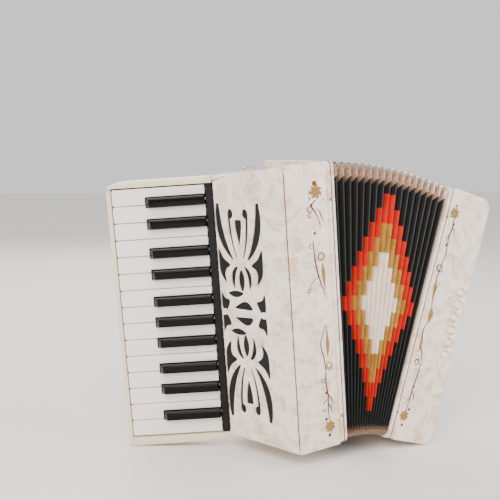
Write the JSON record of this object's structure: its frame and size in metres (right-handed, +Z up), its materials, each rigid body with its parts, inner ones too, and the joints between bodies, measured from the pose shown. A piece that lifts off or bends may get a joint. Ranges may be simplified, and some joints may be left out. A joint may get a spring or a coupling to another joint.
{
  "type": "piano accordion",
  "caption": "Small piano accordion with pearl casings, fretwork grille, piano keys, fanned pleated bellows and bass buttons; keys, buttons and bellows move.",
  "frame": {"origin": "middle of the whole instrument's box at floor height, standing on the keyboard's lower outer corner and the bass side's lower outer corner", "axes": "+X from the keyboard side to the bass side, +Y from the listener's side to the player's side, +Z up"},
  "size_m": [0.4042, 0.1696, 0.3139],
  "materials": {
    "pearl": "polished pearl celluloid",
    "cream": "satin cream celluloid",
    "white_keys": "polished",
    "black_keys": "polished",
    "bellows": "black cloth over card",
    "steel": "plated",
    "wood": "sanded spruce",
    "leather": "black grained",
    "rubber": "matte"
  },
  "bodies": {
    "treble": {"treble_casing": "pearl", "treble_bellows_frame": "cream", "treble_grille": "pearl", "keyboard_bed": "cream", "key_axle": "steel", "treble_soundboard": "wood", "treble_reed_block": "wood", "strap_bracket_upper": "steel", "strap_bracket_lower": "steel", "bellows_hinged_folds": "bellows"},
    "middle_fold": {"bellows_middle_fold": "bellows", "bellows_drawn_folds": "bellows"},
    "bass": {"bass_bellows_frame": "cream", "bass_casing": "pearl", "bass_end_plate": "pearl", "bass_soundboard": "wood", "bass_reed_block": "wood", "bass_strap": "leather", "foot_1": "rubber", "foot_2": "rubber", "foot_3": "rubber", "foot_4": "rubber"},
    "key_white_01": {"key_white_01": "white_keys"},
    "key_white_02": {"key_white_02": "white_keys"},
    "key_white_03": {"key_white_03": "white_keys"},
    "key_white_04": {"key_white_04": "white_keys"},
    "key_white_05": {"key_white_05": "white_keys"},
    "key_white_06": {"key_white_06": "white_keys"},
    "key_white_07": {"key_white_07": "white_keys"},
    "key_white_08": {"key_white_08": "white_keys"},
    "key_white_09": {"key_white_09": "white_keys"},
    "key_white_10": {"key_white_10": "white_keys"},
    "key_white_11": {"key_white_11": "white_keys"},
    "key_white_12": {"key_white_12": "white_keys"},
    "key_white_13": {"key_white_13": "white_keys"},
    "key_white_14": {"key_white_14": "white_keys"},
    "key_white_15": {"key_white_15": "white_keys"},
    "key_black_01": {"key_black_01": "black_keys"},
    "key_black_02": {"key_black_02": "black_keys"},
    "key_black_03": {"key_black_03": "black_keys"},
    "key_black_04": {"key_black_04": "black_keys"},
    "key_black_05": {"key_black_05": "black_keys"},
    "key_black_06": {"key_black_06": "black_keys"},
    "key_black_07": {"key_black_07": "black_keys"},
    "key_black_08": {"key_black_08": "black_keys"},
    "key_black_09": {"key_black_09": "black_keys"},
    "key_black_10": {"key_black_10": "black_keys"},
    "bass_button_01": {"bass_button_01": "white_keys"},
    "bass_button_02": {"bass_button_02": "white_keys"},
    "bass_button_03": {"bass_button_03": "white_keys"},
    "bass_button_04": {"bass_button_04": "white_keys"},
    "bass_button_05": {"bass_button_05": "white_keys"},
    "bass_button_06": {"bass_button_06": "white_keys"},
    "bass_button_07": {"bass_button_07": "white_keys"},
    "bass_button_08": {"bass_button_08": "white_keys"},
    "bass_button_09": {"bass_button_09": "white_keys"},
    "bass_button_10": {"bass_button_10": "white_keys"},
    "bass_button_11": {"bass_button_11": "white_keys"},
    "bass_button_12": {"bass_button_12": "white_keys"},
    "air_button": {"air_button": "white_keys"}
  },
  "joints": [
    {"name": "bellows_fan", "type": "hinge", "parent": "treble", "child": "middle_fold", "pos_m": [0.03217, -0.01583, 0.02062], "axis": [0, 1, 0], "range_deg": [-12, 16], "deforming": ["bellows_hinged_folds"]},
    {"name": "bellows_draw", "type": "slide", "parent": "middle_fold", "child": "bass", "axis": [0.9622, 0, -0.2725], "range_m": [-0.003, 0.06], "deforming": ["bellows_drawn_folds"]},
    {"name": "key_white_01_press", "type": "hinge", "parent": "treble", "child": "key_white_01", "pos_m": [-0.08018, 0.02043, 0.01151], "axis": [0.0939, 0, -0.9956], "range_deg": [0, 2.6], "stiffness_Nm_per_rad": 0.3, "springref_deg": -5.73},
    {"name": "key_white_02_press", "type": "hinge", "parent": "treble", "child": "key_white_02", "pos_m": [-0.08018, 0.02043, 0.01151], "axis": [0.0939, 0, -0.9956], "range_deg": [0, 2.6], "stiffness_Nm_per_rad": 0.3, "springref_deg": -5.73},
    {"name": "key_white_03_press", "type": "hinge", "parent": "treble", "child": "key_white_03", "pos_m": [-0.08018, 0.02043, 0.01151], "axis": [0.0939, 0, -0.9956], "range_deg": [0, 2.6], "stiffness_Nm_per_rad": 0.3, "springref_deg": -5.73},
    {"name": "key_white_04_press", "type": "hinge", "parent": "treble", "child": "key_white_04", "pos_m": [-0.08018, 0.02043, 0.01151], "axis": [0.0939, 0, -0.9956], "range_deg": [0, 2.6], "stiffness_Nm_per_rad": 0.3, "springref_deg": -5.73},
    {"name": "key_white_05_press", "type": "hinge", "parent": "treble", "child": "key_white_05", "pos_m": [-0.08018, 0.02043, 0.01151], "axis": [0.0939, 0, -0.9956], "range_deg": [0, 2.6], "stiffness_Nm_per_rad": 0.3, "springref_deg": -5.73},
    {"name": "key_white_06_press", "type": "hinge", "parent": "treble", "child": "key_white_06", "pos_m": [-0.08018, 0.02043, 0.01151], "axis": [0.0939, 0, -0.9956], "range_deg": [0, 2.6], "stiffness_Nm_per_rad": 0.3, "springref_deg": -5.73},
    {"name": "key_white_07_press", "type": "hinge", "parent": "treble", "child": "key_white_07", "pos_m": [-0.08018, 0.02043, 0.01151], "axis": [0.0939, 0, -0.9956], "range_deg": [0, 2.6], "stiffness_Nm_per_rad": 0.3, "springref_deg": -5.73},
    {"name": "key_white_08_press", "type": "hinge", "parent": "treble", "child": "key_white_08", "pos_m": [-0.08018, 0.02043, 0.01151], "axis": [0.0939, 0, -0.9956], "range_deg": [0, 2.6], "stiffness_Nm_per_rad": 0.3, "springref_deg": -5.73},
    {"name": "key_white_09_press", "type": "hinge", "parent": "treble", "child": "key_white_09", "pos_m": [-0.08018, 0.02043, 0.01151], "axis": [0.0939, 0, -0.9956], "range_deg": [0, 2.6], "stiffness_Nm_per_rad": 0.3, "springref_deg": -5.73},
    {"name": "key_white_10_press", "type": "hinge", "parent": "treble", "child": "key_white_10", "pos_m": [-0.08018, 0.02043, 0.01151], "axis": [0.0939, 0, -0.9956], "range_deg": [0, 2.6], "stiffness_Nm_per_rad": 0.3, "springref_deg": -5.73},
    {"name": "key_white_11_press", "type": "hinge", "parent": "treble", "child": "key_white_11", "pos_m": [-0.08018, 0.02043, 0.01151], "axis": [0.0939, 0, -0.9956], "range_deg": [0, 2.6], "stiffness_Nm_per_rad": 0.3, "springref_deg": -5.73},
    {"name": "key_white_12_press", "type": "hinge", "parent": "treble", "child": "key_white_12", "pos_m": [-0.08018, 0.02043, 0.01151], "axis": [0.0939, 0, -0.9956], "range_deg": [0, 2.6], "stiffness_Nm_per_rad": 0.3, "springref_deg": -5.73},
    {"name": "key_white_13_press", "type": "hinge", "parent": "treble", "child": "key_white_13", "pos_m": [-0.08018, 0.02043, 0.01151], "axis": [0.0939, 0, -0.9956], "range_deg": [0, 2.6], "stiffness_Nm_per_rad": 0.3, "springref_deg": -5.73},
    {"name": "key_white_14_press", "type": "hinge", "parent": "treble", "child": "key_white_14", "pos_m": [-0.08018, 0.02043, 0.01151], "axis": [0.0939, 0, -0.9956], "range_deg": [0, 2.6], "stiffness_Nm_per_rad": 0.3, "springref_deg": -5.73},
    {"name": "key_white_15_press", "type": "hinge", "parent": "treble", "child": "key_white_15", "pos_m": [-0.08018, 0.02043, 0.01151], "axis": [0.0939, 0, -0.9956], "range_deg": [0, 2.6], "stiffness_Nm_per_rad": 0.3, "springref_deg": -5.73},
    {"name": "key_black_01_press", "type": "hinge", "parent": "treble", "child": "key_black_01", "pos_m": [-0.08018, 0.02043, 0.01151], "axis": [0.0939, 0, -0.9956], "range_deg": [0, 2.6], "stiffness_Nm_per_rad": 0.3, "springref_deg": -5.73},
    {"name": "key_black_02_press", "type": "hinge", "parent": "treble", "child": "key_black_02", "pos_m": [-0.08018, 0.02043, 0.01151], "axis": [0.0939, 0, -0.9956], "range_deg": [0, 2.6], "stiffness_Nm_per_rad": 0.3, "springref_deg": -5.73},
    {"name": "key_black_03_press", "type": "hinge", "parent": "treble", "child": "key_black_03", "pos_m": [-0.08018, 0.02043, 0.01151], "axis": [0.0939, 0, -0.9956], "range_deg": [0, 2.6], "stiffness_Nm_per_rad": 0.3, "springref_deg": -5.73},
    {"name": "key_black_04_press", "type": "hinge", "parent": "treble", "child": "key_black_04", "pos_m": [-0.08018, 0.02043, 0.01151], "axis": [0.0939, 0, -0.9956], "range_deg": [0, 2.6], "stiffness_Nm_per_rad": 0.3, "springref_deg": -5.73},
    {"name": "key_black_05_press", "type": "hinge", "parent": "treble", "child": "key_black_05", "pos_m": [-0.08018, 0.02043, 0.01151], "axis": [0.0939, 0, -0.9956], "range_deg": [0, 2.6], "stiffness_Nm_per_rad": 0.3, "springref_deg": -5.73},
    {"name": "key_black_06_press", "type": "hinge", "parent": "treble", "child": "key_black_06", "pos_m": [-0.08018, 0.02043, 0.01151], "axis": [0.0939, 0, -0.9956], "range_deg": [0, 2.6], "stiffness_Nm_per_rad": 0.3, "springref_deg": -5.73},
    {"name": "key_black_07_press", "type": "hinge", "parent": "treble", "child": "key_black_07", "pos_m": [-0.08018, 0.02043, 0.01151], "axis": [0.0939, 0, -0.9956], "range_deg": [0, 2.6], "stiffness_Nm_per_rad": 0.3, "springref_deg": -5.73},
    {"name": "key_black_08_press", "type": "hinge", "parent": "treble", "child": "key_black_08", "pos_m": [-0.08018, 0.02043, 0.01151], "axis": [0.0939, 0, -0.9956], "range_deg": [0, 2.6], "stiffness_Nm_per_rad": 0.3, "springref_deg": -5.73},
    {"name": "key_black_09_press", "type": "hinge", "parent": "treble", "child": "key_black_09", "pos_m": [-0.08018, 0.02043, 0.01151], "axis": [0.0939, 0, -0.9956], "range_deg": [0, 2.6], "stiffness_Nm_per_rad": 0.3, "springref_deg": -5.73},
    {"name": "key_black_10_press", "type": "hinge", "parent": "treble", "child": "key_black_10", "pos_m": [-0.08018, 0.02043, 0.01151], "axis": [0.0939, 0, -0.9956], "range_deg": [0, 2.6], "stiffness_Nm_per_rad": 0.3, "springref_deg": -5.73},
    {"name": "bass_button_01_press", "type": "slide", "parent": "bass", "child": "bass_button_01", "axis": [0, 1, 0], "range_m": [0, 0.0035], "stiffness_N_per_m": 150, "springref_m": -0.004},
    {"name": "bass_button_02_press", "type": "slide", "parent": "bass", "child": "bass_button_02", "axis": [0, 1, 0], "range_m": [0, 0.0035], "stiffness_N_per_m": 150, "springref_m": -0.004},
    {"name": "bass_button_03_press", "type": "slide", "parent": "bass", "child": "bass_button_03", "axis": [0, 1, 0], "range_m": [0, 0.0035], "stiffness_N_per_m": 150, "springref_m": -0.004},
    {"name": "bass_button_04_press", "type": "slide", "parent": "bass", "child": "bass_button_04", "axis": [0, 1, 0], "range_m": [0, 0.0035], "stiffness_N_per_m": 150, "springref_m": -0.004},
    {"name": "bass_button_05_press", "type": "slide", "parent": "bass", "child": "bass_button_05", "axis": [0, 1, 0], "range_m": [0, 0.0035], "stiffness_N_per_m": 150, "springref_m": -0.004},
    {"name": "bass_button_06_press", "type": "slide", "parent": "bass", "child": "bass_button_06", "axis": [0, 1, 0], "range_m": [0, 0.0035], "stiffness_N_per_m": 150, "springref_m": -0.004},
    {"name": "bass_button_07_press", "type": "slide", "parent": "bass", "child": "bass_button_07", "axis": [0, 1, 0], "range_m": [0, 0.0035], "stiffness_N_per_m": 150, "springref_m": -0.004},
    {"name": "bass_button_08_press", "type": "slide", "parent": "bass", "child": "bass_button_08", "axis": [0, 1, 0], "range_m": [0, 0.0035], "stiffness_N_per_m": 150, "springref_m": -0.004},
    {"name": "bass_button_09_press", "type": "slide", "parent": "bass", "child": "bass_button_09", "axis": [0, 1, 0], "range_m": [0, 0.0035], "stiffness_N_per_m": 150, "springref_m": -0.004},
    {"name": "bass_button_10_press", "type": "slide", "parent": "bass", "child": "bass_button_10", "axis": [0, 1, 0], "range_m": [0, 0.0035], "stiffness_N_per_m": 150, "springref_m": -0.004},
    {"name": "bass_button_11_press", "type": "slide", "parent": "bass", "child": "bass_button_11", "axis": [0, 1, 0], "range_m": [0, 0.0035], "stiffness_N_per_m": 150, "springref_m": -0.004},
    {"name": "bass_button_12_press", "type": "slide", "parent": "bass", "child": "bass_button_12", "axis": [0, 1, 0], "range_m": [0, 0.0035], "stiffness_N_per_m": 150, "springref_m": -0.004},
    {"name": "air_button_press", "type": "slide", "parent": "bass", "child": "air_button", "axis": [-0.9622, 0, 0.2725], "range_m": [0, 0.0045], "stiffness_N_per_m": 150, "springref_m": -0.004}
  ]
}
